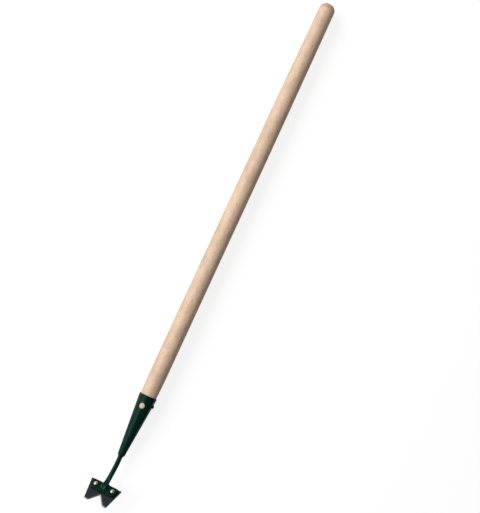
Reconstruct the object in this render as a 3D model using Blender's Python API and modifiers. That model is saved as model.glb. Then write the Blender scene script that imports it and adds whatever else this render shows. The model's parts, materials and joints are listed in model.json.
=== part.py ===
"""Scuffle hoe: an ash handle in a conical steel socket, and a bar neck that carries a riveted, notched blade.

Lengths are in metres. The tool is modelled about its handle: +Y runs up the handle from the socket's mouth,
+Z points out of the front, where the rivet heads show, and +X is to the right of someone who faces the front.
The head has a frame of its own in the blade's plane: +Y up the blade, +Z out of its front face, and its
origin in the middle of the blade's top edge. The whole tool is then laid on the ground, as it lies when
put down: on the socket's rim, on the handle and on one top corner of the blade.
"""
import math

import bmesh
import bpy
from mathutils import Euler, Matrix, Vector

MM = 0.001
GAP = 0.3 * MM
SMALL_EDGE = 0.4 * MM

# Handle
HANDLE_RADIUS = 18.0 * MM
HANDLE_LENGTH = 880.0 * MM
HANDLE_END_RADIUS = 16.6 * MM
HANDLE_TAPER_START = 470.0 * MM
HANDLE_DOME_LENGTH = 15.0 * MM
HANDLE_SHOULDER_LENGTH = 60.0 * MM
HANDLE_TO_NECK = 6.0 * MM

# Socket
SOCKET_MOUTH_RADIUS = 19.0 * MM
SOCKET_SMALL_RADIUS = 8.0 * MM
SOCKET_CONE_LENGTH = 124.5 * MM
SOCKET_SHOULDER_LENGTH = 6.0 * MM
SOCKET_WALL = 2.0 * MM
SOCKET_END_WALL = 1.3 * MM
SIGHT_HOLE_RADIUS = 6.0 * MM
SIGHT_HOLE_BELOW_RIM = 22.5 * MM
SEAM_WIDTH = 0.9 * MM
SEAM_DEPTH = 0.6 * MM

# Screw that holds the handle in the socket
SCREW_BELOW_RIM = 17.0 * MM
SCREW_HEAD_RADIUS = 3.7 * MM
SCREW_HEAD_HEIGHT = 2.2 * MM
SCREW_SHANK_RADIUS = 2.0 * MM
SCREW_LENGTH = 20.0 * MM

# Neck: a round bar with two bends and a pressed foot
NECK_RADIUS = 5.0 * MM
NECK_SPIGOT = 20.0 * MM
NECK_STRAIGHT = 12.5 * MM
NECK_BEND_ANGLE = math.radians(16.0)
NECK_BEND_LENGTH = 26.0 * MM
NECK_RUN = 16.0 * MM
NECK_KNEE_LENGTH = 8.0 * MM
NECK_FOOT_LENGTH = 8.7 * MM
NECK_FOOT_THICKNESS = 6.0 * MM
NECK_FOOT_SPREAD = 0.9 * MM
NECK_SPREAD_LENGTH = 22.0 * MM
NECK_FACET_LENGTH = 12.7 * MM
NECK_RUNOUT_SLOPE = math.radians(28.5)
NECK_FOOT_BELOW_TOP = 10.0 * MM

# Blade
BLADE_TO_HANDLE = math.radians(35.0)
BLADE_TOP_HALF = 34.0 * MM
BLADE_TIP_HALF = 24.6 * MM
BLADE_HEIGHT = 48.4 * MM
BLADE_THICKNESS = 2.0 * MM
BLADE_CORNER = 0.5 * MM
BLADE_TIP_CORNER = 0.9 * MM
NOTCH_DEPTH = 21.2 * MM
NOTCH_ANGLE = math.radians(52.7)
NOTCH_APEX_RADIUS = 3.0 * MM
LOBE_RADIUS = 7.0 * MM
GRIND_WIDTH = 2.1 * MM
EDGE_LAND = 0.3 * MM

# Mounting plate and rivets
PLATE_BELOW_TOP = 1.4 * MM
PLATE_HEIGHT = 20.4 * MM
PLATE_TOP_HALF = 29.5 * MM
PLATE_THICKNESS = 4.5 * MM
PLATE_CORNER = 4.0 * MM
PLATE_EDGE_ROUND = 0.8 * MM
RIVET_OFFSET = 19.0 * MM
RIVET_BELOW_TOP = 11.1 * MM
RIVET_HEAD_RADIUS = 4.5 * MM
RIVET_HEAD_HEIGHT = 2.7 * MM
RIVET_SHANK_RADIUS = 2.5 * MM
RIVET_TAIL_RADIUS = 4.0 * MM
RIVET_TAIL_DEPTH = 1.3 * MM
RIVET_TAIL_SUNK = 0.1 * MM

# Welds
FOOT_WELD_LEFT = 3.2 * MM
FOOT_WELD_RIGHT = 6.2 * MM
FOOT_WELD_BELOW = 7.5 * MM
FOOT_WELD_HEIGHT = 4.6 * MM
FOOT_WELD_ROUND = 1.0 * MM
FOOT_WELD_DRAW = 0.36
SOCKET_WELD_LENGTH = 3.6 * MM
SOCKET_WELD_HEIGHT = 1.4 * MM

ROUND_STEPS = 48
FINE_STEPS = 24
ARC_STEPS = 6


def clear_scene():
    for existing in list(bpy.data.objects):
        bpy.data.objects.remove(existing)


def new_collection(name):
    collection = bpy.data.collections.new(name)
    bpy.context.scene.collection.children.link(collection)
    return collection


def new_material(name, colour, roughness, metallic):
    material = bpy.data.materials.new(name)
    material.use_nodes = True
    shader = material.node_tree.nodes["Principled BSDF"]
    shader.inputs["Base Color"].default_value = (*colour, 1.0)
    shader.inputs["Roughness"].default_value = roughness
    shader.inputs["Metallic"].default_value = metallic
    return material


def new_empty(name, parent, location=(0, 0, 0), rotation=(0, 0, 0)):
    empty = bpy.data.objects.new(name, None)
    PARTS.objects.link(empty)
    empty.parent = parent
    empty.location = location
    empty.rotation_euler = rotation
    return empty


def place(name, mesh, parent, material=None, location=(0, 0, 0), rotation=(0, 0, 0)):
    """Make an object of a mesh. Without a material it is a cutter, which only shapes its neighbours."""
    piece = bpy.data.objects.new(name, mesh)
    if material is None:
        CUTTERS.objects.link(piece)
        piece.hide_render = True
        piece.display_type = "WIRE"
    else:
        PARTS.objects.link(piece)
        mesh.materials.append(material)
    piece.parent = parent
    piece.location = location
    piece.rotation_euler = rotation
    return piece


def turned_mesh(name, profile, closed=False):
    """A profile of (radius, height) points at +X, which runs down the outer side."""
    mesh = bpy.data.meshes.new(name)
    points = [(radius, 0.0, height) for radius, height in profile]
    edges = [(index, index + 1) for index in range(len(points) - 1)]
    if closed:
        edges.append((len(points) - 1, 0))
    mesh.from_pydata(points, edges, [])
    return mesh


def turn(piece, steps):
    screw = piece.modifiers.new("turn", "SCREW")
    screw.axis = "Z"
    screw.angle = math.tau
    screw.steps = steps
    screw.render_steps = steps
    screw.use_merge_vertices = True
    screw.merge_threshold = 0.00001
    screw.use_smooth_shade = True
    return screw


def cut(piece, cutter):
    boolean = piece.modifiers.new("cut " + cutter.name, "BOOLEAN")
    boolean.operation = "DIFFERENCE"
    boolean.object = cutter
    boolean.solver = "EXACT"
    return boolean


def mesh_of_curve(name, curve):
    """Turn a curve into a closed mesh with its caps welded on."""
    source = bpy.data.objects.new(name + " curve", curve)
    bpy.context.scene.collection.objects.link(source)
    evaluated = source.evaluated_get(bpy.context.evaluated_depsgraph_get())
    mesh = bpy.data.meshes.new_from_object(evaluated)
    mesh.name = name
    mesh.materials.clear()
    bpy.data.objects.remove(source)
    shape = bmesh.new()
    shape.from_mesh(mesh)
    bmesh.ops.remove_doubles(shape, verts=shape.verts, dist=0.000001)
    bmesh.ops.recalc_face_normals(shape, faces=shape.faces)
    shape.to_mesh(mesh)
    shape.free()
    return mesh


def flat_mesh(name, outline, thickness, base=0.0):
    """A plate with this outline, from height base upwards."""
    curve = bpy.data.curves.new(name, "CURVE")
    curve.dimensions = "2D"
    curve.fill_mode = "BOTH"
    curve.extrude = thickness / 2
    spline = curve.splines.new("POLY")
    spline.points.add(len(outline) - 1)
    for point, (x, y) in zip(spline.points, outline):
        point.co = (x, y, 0.0, 1.0)
    spline.use_cyclic_u = True
    mesh = mesh_of_curve(name, curve)
    mesh.transform(Matrix.Translation((0.0, 0.0, base + thickness / 2)))
    return mesh


def bar_mesh(name, points, radii):
    """A round bar along these points, with its own radius at each."""
    curve = bpy.data.curves.new(name, "CURVE")
    curve.dimensions = "3D"
    curve.bevel_depth = radii[0]
    curve.bevel_resolution = 6
    curve.use_fill_caps = True
    spline = curve.splines.new("POLY")
    spline.points.add(len(points) - 1)
    for point, position, radius in zip(spline.points, points, radii):
        point.co = (*position, 1.0)
        point.radius = radius / radii[0]
    mesh = mesh_of_curve(name, curve)
    mesh.shade_smooth()
    mesh.set_sharp_from_angle(angle=math.radians(40))
    return mesh


def cylinder_mesh(name, radius, length, steps=FINE_STEPS, far_radius=None):
    """A cylinder or cone along Z, from the origin upwards."""
    mesh = bpy.data.meshes.new(name)
    shape = bmesh.new()
    top = radius if far_radius is None else far_radius
    bmesh.ops.create_cone(shape, cap_ends=True, segments=steps, radius1=radius, radius2=top, depth=length,
                          matrix=Matrix.Translation((0.0, 0.0, length / 2)))
    shape.to_mesh(mesh)
    shape.free()
    return mesh


def box_mesh(name, size, centre):
    mesh = bpy.data.meshes.new(name)
    shape = bmesh.new()
    scale = Matrix.Diagonal((*size, 1.0))
    bmesh.ops.create_cube(shape, size=1.0, matrix=Matrix.Translation(centre) @ scale)
    shape.to_mesh(mesh)
    shape.free()
    return mesh


def rounded(corners, steps=ARC_STEPS):
    """Round the corners of a closed outline. Each corner is (x, y, radius)."""
    outline = []
    count = len(corners)
    for index, (x, y, radius) in enumerate(corners):
        here = Vector((x, y))
        before = Vector(corners[index - 1][:2])
        after = Vector(corners[(index + 1) % count][:2])
        to_before = (before - here).normalized()
        to_after = (after - here).normalized()
        half = to_before.angle(to_after) / 2
        centre = here + (to_before + to_after).normalized() * (radius / math.sin(half))
        start = here + to_before * (radius / math.tan(half)) - centre
        end = here + to_after * (radius / math.tan(half)) - centre
        sweep = start.angle_signed(end)
        for step in range(steps + 1):
            turn_by = Matrix.Rotation(-sweep * step / steps, 2)
            outline.append(tuple(centre + turn_by @ start))
    return outline


def lofted_mesh(name, loops):
    """A closed body through outlines with equal numbers of points, from the lowest to the highest."""
    mesh = bpy.data.meshes.new(name)
    shape = bmesh.new()
    rings = [[shape.verts.new((x, y, height)) for x, y in outline] for outline, height in loops]
    count = len(rings[0])
    for lower, upper in zip(rings, rings[1:]):
        for index in range(count):
            following = (index + 1) % count
            shape.faces.new((lower[index], lower[following], upper[following], upper[index]))
    shape.faces.new(list(reversed(rings[0])))
    shape.faces.new(rings[-1])
    bmesh.ops.recalc_face_normals(shape, faces=shape.faces)
    shape.to_mesh(mesh)
    shape.free()
    return mesh


def socket_radius(height):
    """Outer radius of the socket's cone at a height along the handle, which is zero at its mouth."""
    slope = (SOCKET_MOUTH_RADIUS - SOCKET_SMALL_RADIUS) / SOCKET_CONE_LENGTH
    return SOCKET_MOUTH_RADIUS + slope * height


def handle_seat_radius(height):
    """Radius of the handle's cone inside the socket."""
    return socket_radius(height) - SOCKET_WALL - GAP


def neck_path():
    """Centre line of the neck in the tool's YZ plane, from inside the socket to the foot's end."""
    sections = (
        (NECK_SPIGOT + NECK_STRAIGHT, 0.0, 2),
        (NECK_BEND_LENGTH, NECK_BEND_ANGLE, 12),
        (NECK_RUN, 0.0, 2),
        (NECK_KNEE_LENGTH, BLADE_TO_HANDLE - NECK_BEND_ANGLE, 10),
        (NECK_FOOT_LENGTH, 0.0, 2),
    )
    y = NECK_SPIGOT - SOCKET_CONE_LENGTH - SOCKET_SHOULDER_LENGTH
    z = 0.0
    angle = 0.0
    points = [(0.0, y, z)]
    for length, turning, steps in sections:
        for step in range(steps):
            middle = angle + turning * (step + 0.5) / steps
            y -= math.cos(middle) * length / steps
            z += math.sin(middle) * length / steps
            points.append((0.0, y, z))
        angle += turning
    return points


def neck_radii(path, clearance=0.0):
    """Radius at each point of the neck. The bar spreads towards its pressed foot."""
    foot = Vector(path[-1])
    radii = []
    for point in path:
        near = max(0.0, 1.0 - (Vector(point) - foot).length / NECK_SPREAD_LENGTH)
        radii.append(NECK_RADIUS + NECK_FOOT_SPREAD * near * near * (3.0 - 2.0 * near) + clearance)
    return radii


def blade_corners(grind):
    """Corners of the blade's outline, with its cutting edge drawn in by the width of the grind."""
    tip = grind - BLADE_HEIGHT
    apex = NOTCH_DEPTH - BLADE_HEIGHT + grind / math.cos(NOTCH_ANGLE)
    lobe = (apex - tip) / math.tan(NOTCH_ANGLE)
    taper = (BLADE_TOP_HALF - BLADE_TIP_HALF) / BLADE_HEIGHT
    tip_half = BLADE_TIP_HALF + taper * grind
    right = [
        (lobe, tip, LOBE_RADIUS - grind),
        (tip_half, tip, BLADE_TIP_CORNER),
        (BLADE_TOP_HALF, 0.0, BLADE_CORNER),
    ]
    left = [(-x, y, radius) for x, y, radius in reversed(right)]
    return [(0.0, apex, NOTCH_APEX_RADIUS + grind)] + right + left


def make_handle():
    profile = [(0.0, HANDLE_LENGTH)]
    for step in range(1, 11):
        angle = math.radians(90) * step / 10
        height = HANDLE_LENGTH - HANDLE_DOME_LENGTH * (1 - math.cos(angle))
        profile.append((HANDLE_END_RADIUS * math.sin(angle), height))
    dome_base = HANDLE_LENGTH - HANDLE_DOME_LENGTH
    for step in range(1, 9):
        part = step / 8
        height = dome_base - part * (dome_base - HANDLE_TAPER_START)
        swell = math.sin(math.radians(90) * part)
        profile.append((HANDLE_END_RADIUS + (HANDLE_RADIUS - HANDLE_END_RADIUS) * swell, height))
    profile.append((HANDLE_RADIUS, HANDLE_SHOULDER_LENGTH))
    rim_radius = handle_seat_radius(0.0)
    for step in range(1, 7):
        part = step / 6
        height = HANDLE_SHOULDER_LENGTH * (1 - part)
        profile.append((HANDLE_RADIUS - (HANDLE_RADIUS - rim_radius) * part ** 3, height))
    seat_end = neck_path()[0][1] + HANDLE_TO_NECK
    profile.append((handle_seat_radius(seat_end), seat_end))
    profile.append((0.0, seat_end))
    handle = place("handle", turned_mesh("handle", profile), TOOL, ASH, rotation=ALONG_HANDLE)
    turn(handle, ROUND_STEPS)
    pilot_radius = SCREW_SHANK_RADIUS + GAP
    pilot = place("pilot hole", cylinder_mesh("pilot hole", pilot_radius, HANDLE_RADIUS * 2), TOOL,
                  location=(SCREW_SEAT - SCREW_LENGTH - GAP, -SCREW_BELOW_RIM, 0.0), rotation=TO_THE_RIGHT)
    cut(handle, pilot)


def make_socket():
    small_end = -SOCKET_CONE_LENGTH
    end = small_end - SOCKET_SHOULDER_LENGTH
    bore = NECK_RADIUS + GAP
    end_radius = bore + SOCKET_END_WALL
    profile = [(SOCKET_MOUTH_RADIUS - SMALL_EDGE, 0.0), (SOCKET_MOUTH_RADIUS, -SMALL_EDGE)]
    profile.append((SOCKET_SMALL_RADIUS, small_end))
    for step in range(1, 5):
        angle = math.radians(90) * step / 4
        radius = end_radius + (SOCKET_SMALL_RADIUS - end_radius) * math.cos(angle)
        profile.append((radius, small_end - SOCKET_SHOULDER_LENGTH * math.sin(angle)))
    profile.append((bore, end))
    slope = (SOCKET_MOUTH_RADIUS - SOCKET_SMALL_RADIUS) / SOCKET_CONE_LENGTH
    mouth_bore = SOCKET_MOUTH_RADIUS - SOCKET_WALL
    cone_end = max(-(mouth_bore - bore) / slope, end + GAP)
    profile.append((bore, cone_end))
    profile.append((mouth_bore, 0.0))
    socket = place("socket", turned_mesh("socket", profile, closed=True), TOOL, GREEN, rotation=ALONG_HANDLE)
    turn(socket, ROUND_STEPS)
    reach = SOCKET_MOUTH_RADIUS * 2
    sight_mesh = cylinder_mesh("sight hole", SIGHT_HOLE_RADIUS, reach, ROUND_STEPS)
    sight_hole = place("sight hole", sight_mesh, TOOL, location=(0.0, -SIGHT_HOLE_BELOW_RIM, 0.0))
    cut(socket, sight_hole)
    screw_mesh = cylinder_mesh("screw hole", SCREW_SHANK_RADIUS + GAP, reach)
    screw_hole = place("screw hole", screw_mesh, TOOL, location=(0.0, -SCREW_BELOW_RIM, 0.0),
                       rotation=TO_THE_RIGHT)
    cut(socket, screw_hole)
    seam_mesh = box_mesh("seam", (SEAM_WIDTH, SOCKET_CONE_LENGTH * 2, SEAM_DEPTH * 2), (0.0, 0.0, 0.0))
    seam = place("seam", seam_mesh, TOOL, location=(0.0, 0.0, -SOCKET_MOUTH_RADIUS),
                 rotation=(-math.atan(slope), 0.0, 0.0))
    cut(socket, seam)


def make_screw():
    profile = [(0.0, SCREW_HEAD_HEIGHT)]
    for step in range(1, 7):
        angle = math.radians(90) * step / 6
        profile.append((SCREW_HEAD_RADIUS * math.sin(angle), SCREW_HEAD_HEIGHT * math.cos(angle)))
    point_length = SCREW_SHANK_RADIUS * 2
    profile.append((SCREW_SHANK_RADIUS, 0.0))
    profile.append((SCREW_SHANK_RADIUS, point_length - SCREW_LENGTH))
    profile.append((0.0, -SCREW_LENGTH))
    screw = place("handle_screw", turned_mesh("handle_screw", profile), TOOL, GREEN_HARDWARE,
                  location=(SCREW_SEAT, -SCREW_BELOW_RIM, 0.0), rotation=TO_THE_RIGHT)
    turn(screw, FINE_STEPS)


def make_neck():
    path = neck_path()
    neck = place("neck", bar_mesh("neck", path, neck_radii(path)), TOOL, GREEN)
    foot_top = PLATE_FRONT + GAP + NECK_FOOT_THICKNESS
    foot_end = -NECK_FOOT_BELOW_TOP
    bend = foot_end + NECK_FACET_LENGTH
    far = bend + NECK_FACET_LENGTH * 2
    reach = NECK_RADIUS * 2
    press_outline = [
        (foot_end - reach, foot_top),
        (bend, foot_top),
        (far, foot_top + (far - bend) * math.tan(NECK_RUNOUT_SLOPE)),
        (far, foot_top + reach * 5),
        (foot_end - reach, foot_top + reach * 5),
    ]
    press = place("press", flat_mesh("press", press_outline, reach * 2, -reach), HEAD, rotation=SIDEWAYS)
    cut(neck, press)
    bed_size = (reach * 2, NECK_FOOT_BELOW_TOP * 2, reach * 2)
    bed_centre = (0.0, -PLATE_BELOW_TOP + GAP - NECK_FOOT_BELOW_TOP, PLATE_FRONT + GAP - reach)
    bed = place("foot bed", box_mesh("foot bed", bed_size, bed_centre), HEAD)
    cut(neck, bed)


def make_blade():
    back = -BLADE_THICKNESS
    outer = rounded(blade_corners(0.0))
    inner = rounded(blade_corners(GRIND_WIDTH))
    sections = ((outer, back), (outer, back + EDGE_LAND), (inner, 0.0))
    blade = place("blade", lofted_mesh("blade", sections), HEAD, STEEL)
    slope = (RIVET_TAIL_RADIUS - RIVET_SHANK_RADIUS) / RIVET_TAIL_DEPTH
    mouth = RIVET_TAIL_RADIUS + GAP * math.hypot(1.0, slope) + RIVET_TAIL_SUNK * slope
    depth = (mouth - RIVET_SHANK_RADIUS - GAP) / slope
    for name, side in (("left", -1.0), ("right", 1.0)):
        centre = (side * RIVET_OFFSET, -RIVET_BELOW_TOP)
        hole_mesh = cylinder_mesh(name + " blade hole", RIVET_SHANK_RADIUS + GAP, BLADE_THICKNESS * 4)
        cut(blade, place(name + " blade hole", hole_mesh, HEAD, location=(*centre, back * 2)))
        sink_mesh = cylinder_mesh(name + " countersink", mouth + slope * BLADE_THICKNESS,
                                  depth + BLADE_THICKNESS, far_radius=mouth - slope * depth)
        cut(blade, place(name + " countersink", sink_mesh, HEAD, location=(*centre, back * 2)))


def make_plate():
    bottom = -PLATE_BELOW_TOP - PLATE_HEIGHT
    taper = (BLADE_TOP_HALF - BLADE_TIP_HALF) / BLADE_HEIGHT
    bottom_half = PLATE_TOP_HALF - taper * PLATE_HEIGHT
    corners = [
        (bottom_half, bottom, PLATE_CORNER),
        (PLATE_TOP_HALF, -PLATE_BELOW_TOP, PLATE_CORNER),
        (-PLATE_TOP_HALF, -PLATE_BELOW_TOP, PLATE_CORNER),
        (-bottom_half, bottom, PLATE_CORNER),
    ]
    plate_mesh = flat_mesh("mounting_plate", rounded(corners), PLATE_THICKNESS, GAP)
    plate = place("mounting_plate", plate_mesh, HEAD, GREEN)
    edge = plate.modifiers.new("rounded edges", "BEVEL")
    edge.width = PLATE_EDGE_ROUND
    edge.segments = 3
    edge.limit_method = "ANGLE"
    edge.angle_limit = math.radians(60)
    for name, side in (("left", -1.0), ("right", 1.0)):
        hole_mesh = cylinder_mesh(name + " plate hole", RIVET_SHANK_RADIUS + GAP, PLATE_THICKNESS * 3)
        centre = (side * RIVET_OFFSET, -RIVET_BELOW_TOP, -PLATE_THICKNESS)
        cut(plate, place(name + " plate hole", hole_mesh, HEAD, location=centre))


def make_rivets():
    seat = PLATE_FRONT + GAP
    profile = [(0.0, seat + RIVET_HEAD_HEIGHT)]
    for step in range(1, 9):
        angle = math.radians(90) * step / 8
        profile.append((RIVET_HEAD_RADIUS * math.sin(angle), seat + RIVET_HEAD_HEIGHT * math.cos(angle)))
    tail = RIVET_TAIL_SUNK - BLADE_THICKNESS
    profile.append((RIVET_SHANK_RADIUS, seat))
    profile.append((RIVET_SHANK_RADIUS, tail + RIVET_TAIL_DEPTH))
    profile.append((RIVET_TAIL_RADIUS, tail))
    profile.append((0.0, tail))
    for name, side in (("rivet_left", -1.0), ("rivet_right", 1.0)):
        rivet = place(name, turned_mesh(name, profile), HEAD, ZINC,
                      location=(side * RIVET_OFFSET, -RIVET_BELOW_TOP, 0.0))
        turn(rivet, FINE_STEPS)


def make_foot_weld():
    """A bead round three sides of the foot: narrow at the left, a tongue below and a mound at the right."""
    foot_half = NECK_RADIUS + NECK_FOOT_SPREAD
    top = -PLATE_BELOW_TOP - GAP
    low = -NECK_FOOT_BELOW_TOP - FOOT_WELD_BELOW
    left = -foot_half - FOOT_WELD_LEFT
    right = foot_half + FOOT_WELD_RIGHT
    outline = rounded([
        (foot_half / 2, low, FOOT_WELD_ROUND * 4),
        (right - FOOT_WELD_RIGHT / 2, low + FOOT_WELD_BELOW / 2, FOOT_WELD_ROUND * 2),
        (right, top - FOOT_WELD_RIGHT / 2, FOOT_WELD_ROUND),
        (right - FOOT_WELD_RIGHT / 2, top, FOOT_WELD_ROUND),
        (left + FOOT_WELD_LEFT / 2, top, FOOT_WELD_ROUND),
        (left, top - FOOT_WELD_LEFT, FOOT_WELD_ROUND * 2),
        (left + FOOT_WELD_LEFT / 4, low + FOOT_WELD_LEFT / 2, FOOT_WELD_ROUND),
    ])
    rings = []
    layers = 5
    for layer in range(layers + 1):
        angle = math.radians(90) * layer / layers
        share = 1 - FOOT_WELD_DRAW * (1 - math.cos(angle))
        height = PLATE_FRONT + GAP + FOOT_WELD_HEIGHT * math.sin(angle)
        rings.append(([(x * share, top + (y - top) * share) for x, y in outline], height))
    weld = place("foot_weld", lofted_mesh("foot_weld", rings), HEAD, GREEN_WELD)
    path = neck_path()
    final = (Vector(path[-1]) - Vector(path[-2])).normalized()
    longer = path + [tuple(Vector(path[-1]) + final * GAP)]
    room = place("room for the foot", bar_mesh("room for the foot", longer, neck_radii(longer, GAP)), TOOL)
    cut(weld, room)


def make_socket_weld():
    inner = NECK_RADIUS + GAP
    top = -SOCKET_CONE_LENGTH - SOCKET_SHOULDER_LENGTH - GAP
    outer = inner + SOCKET_WELD_HEIGHT
    profile = [(inner, top)]
    for step in range(6):
        angle = math.radians(90) * step / 6
        radius = inner + SMALL_EDGE + (outer - inner - SMALL_EDGE) * math.cos(angle)
        profile.append((radius, top - SOCKET_WELD_LENGTH * math.sin(angle)))
    profile.append((inner, top - SOCKET_WELD_LENGTH))
    weld = place("socket_weld", turned_mesh("socket_weld", profile, closed=True), TOOL, GREEN_WELD,
                 rotation=ALONG_HANDLE)
    turn(weld, ROUND_STEPS)


def lay_on_ground():
    """Turn the tool about its handle until one top corner of the blade meets the ground."""
    pitch = math.atan((SOCKET_MOUTH_RADIUS - HANDLE_RADIUS) / HANDLE_TAPER_START)
    outline = [HEAD_MATRIX @ Vector((x, y, -BLADE_THICKNESS)) for x, y in rounded(blade_corners(0.0))]
    too_little = 0.0
    too_much = math.radians(90)
    for _ in range(40):
        roll = (too_little + too_much) / 2
        depth = max(-math.sin(roll) * point.x - math.cos(roll) * point.z + math.tan(pitch) * point.y
                    for point in outline)
        if depth < SOCKET_MOUTH_RADIUS:
            too_little = roll
        else:
            too_much = roll
    TOOL.rotation_euler = (Matrix.Rotation(-pitch, 3, "X") @ Matrix.Rotation(-roll, 3, "Y")).to_euler()
    bpy.context.view_layer.update()
    depsgraph = bpy.context.evaluated_depsgraph_get()
    points = []
    for piece in PARTS.objects:
        if piece.type == "MESH":
            evaluated = piece.evaluated_get(depsgraph)
            points += [evaluated.matrix_world @ vertex.co for vertex in evaluated.data.vertices]
    low = [min(point[axis] for point in points) for axis in range(3)]
    high = [max(point[axis] for point in points) for axis in range(3)]
    TOOL.location = (-(low[0] + high[0]) / 2, -(low[1] + high[1]) / 2, -low[2])


clear_scene()
PARTS = new_collection("scuffle_hoe")
CUTTERS = new_collection("cutters")
ASH = new_material("ash", (0.60, 0.44, 0.31), 0.45, 0.0)
GREEN = new_material("green paint", (0.010, 0.050, 0.036), 0.22, 0.0)
GREEN_HARDWARE = new_material("painted screw", (0.008, 0.035, 0.026), 0.30, 0.0)
GREEN_WELD = new_material("painted weld", (0.009, 0.044, 0.032), 0.28, 0.0)
STEEL = new_material("dark steel", (0.055, 0.062, 0.068), 0.42, 0.85)
ZINC = new_material("yellow zinc", (0.55, 0.50, 0.34), 0.30, 0.9)

ALONG_HANDLE = (math.radians(-90), 0.0, 0.0)
TO_THE_RIGHT = (0.0, math.radians(90), 0.0)
SIDEWAYS = (math.radians(90), 0.0, math.radians(90))
PLATE_FRONT = GAP + PLATE_THICKNESS
SCREW_SEAT = socket_radius(-SCREW_BELOW_RIM) + GAP * 2
FOOT_END = Vector(neck_path()[-1])
HEAD_TURN = Euler((-BLADE_TO_HANDLE, 0.0, 0.0))
FOOT_CENTRE = Vector((0.0, -NECK_FOOT_BELOW_TOP, PLATE_FRONT + GAP + NECK_FOOT_THICKNESS / 2))
HEAD_ORIGIN = FOOT_END - HEAD_TURN.to_matrix() @ FOOT_CENTRE
HEAD_MATRIX = Matrix.LocRotScale(HEAD_ORIGIN, HEAD_TURN, None)
TOOL = new_empty("tool", None)
HEAD = new_empty("head", TOOL, HEAD_ORIGIN, HEAD_TURN)

make_handle()
make_socket()
make_screw()
make_neck()
make_blade()
make_plate()
make_rivets()
make_foot_weld()
make_socket_weld()
lay_on_ground()
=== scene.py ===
"""Looks of a scuffle hoe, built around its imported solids: a bare wooden handle in a painted steel socket, a
painted neck welded to a mounting plate, and a dark steel blade with a ground edge and two plated rivets.

Lengths are in metres. The tool's own frame is as in the part: its origin is in the middle of the socket's
mouth, +Y runs up the handle, +Z points out of the front and +X is to the right. The head's frame lies in the
blade's front face, with its origin in the middle of the blade's top edge and +Y up the blade.
"""

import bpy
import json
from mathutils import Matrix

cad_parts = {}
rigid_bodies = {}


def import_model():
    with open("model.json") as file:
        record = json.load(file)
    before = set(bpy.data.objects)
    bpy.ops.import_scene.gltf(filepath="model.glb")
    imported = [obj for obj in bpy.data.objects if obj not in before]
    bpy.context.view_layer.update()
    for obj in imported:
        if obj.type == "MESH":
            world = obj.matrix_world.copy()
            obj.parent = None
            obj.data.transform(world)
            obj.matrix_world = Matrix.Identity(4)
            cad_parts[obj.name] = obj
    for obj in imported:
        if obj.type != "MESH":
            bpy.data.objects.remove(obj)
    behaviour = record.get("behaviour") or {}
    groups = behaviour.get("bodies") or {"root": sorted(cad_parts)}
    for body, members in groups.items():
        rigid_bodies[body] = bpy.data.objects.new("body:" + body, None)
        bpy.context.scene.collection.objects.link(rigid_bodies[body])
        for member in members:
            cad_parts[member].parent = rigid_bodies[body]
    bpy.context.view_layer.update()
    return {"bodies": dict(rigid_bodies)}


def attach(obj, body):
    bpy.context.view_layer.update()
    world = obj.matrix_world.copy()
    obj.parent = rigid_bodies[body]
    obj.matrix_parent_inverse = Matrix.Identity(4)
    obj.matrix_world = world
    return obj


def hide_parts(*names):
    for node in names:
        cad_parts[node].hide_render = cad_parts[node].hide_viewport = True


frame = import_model()

import json
import math

import bmesh
import bpy
from mathutils import Euler, Matrix, Vector, noise

BODY = next(iter(frame["bodies"]))
MM = 0.001
GAP = 0.3 * MM

# Where the tool lies: on the socket's rim, the handle and one corner of the blade
MOUTH_PLACE = (7.022 * MM, -322.204 * MM, 19.095 * MM)
RESTING_ROLL = math.radians(39.2597)

# Handle
HANDLE_RADIUS = 18.0 * MM
HANDLE_LENGTH = 880.0 * MM
HANDLE_END_RADIUS = 16.6 * MM
HANDLE_TAPER_START = 470.0 * MM
HANDLE_DOME_LENGTH = 15.0 * MM
HANDLE_SHOULDER_LENGTH = 60.0 * MM
HANDLE_TO_NECK = 6.0 * MM
HANDLE_SWELL_STRETCH = 8

# Socket
SOCKET_MOUTH_RADIUS = 19.0 * MM
SOCKET_SMALL_RADIUS = 8.0 * MM
SOCKET_CONE_LENGTH = 124.5 * MM
SOCKET_SLOPE = (SOCKET_MOUTH_RADIUS - SOCKET_SMALL_RADIUS) / SOCKET_CONE_LENGTH
SOCKET_SHOULDER_LENGTH = 6.0 * MM
SOCKET_WALL = 2.0 * MM
SOCKET_END_WALL = 1.3 * MM
RIM_ROUND = 0.5 * MM
SIGHT_HOLE_RADIUS = 6.0 * MM
SIGHT_HOLE_BELOW_RIM = 22.5 * MM
HOLE_EDGE_ROUND = 0.5 * MM
HOLE_FLARE = 1.2 * HOLE_EDGE_ROUND
PUNCH_ABOVE = 2.0 * MM
PUNCH_BELOW = 8.0 * MM
SEAM_WIDTH = 0.9 * MM
SEAM_DEPTH = 0.6 * MM
SEAM_OFFSETS = (-1.5, -0.9, -0.6, -0.35, 0.0, 0.35, 0.6, 0.9, 1.5)
SEAM_CLEAR = math.radians(12)
SHEET_WAVE_RADIUS = 14.0 * MM
SHEET_WAVE_STRETCH = 6

# Screw
SCREW_BELOW_RIM = 17.0 * MM
SCREW_HEAD_RADIUS = 3.7 * MM
SCREW_HEAD_HEIGHT = 2.2 * MM
SCREW_SHANK_RADIUS = 2.0 * MM
SCREW_LENGTH = 20.0 * MM
SCREW_HEAD_LIFT = 2 * GAP
SCREW_HOLE_START = 8.0 * MM
SCREW_SLOT_WIDTH = 0.9 * MM
SCREW_SLOT_DEPTH = 0.9 * MM
SCREW_SLOT_TURN = math.radians(35)
SCREW_SQUARENESS = 0.8

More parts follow.
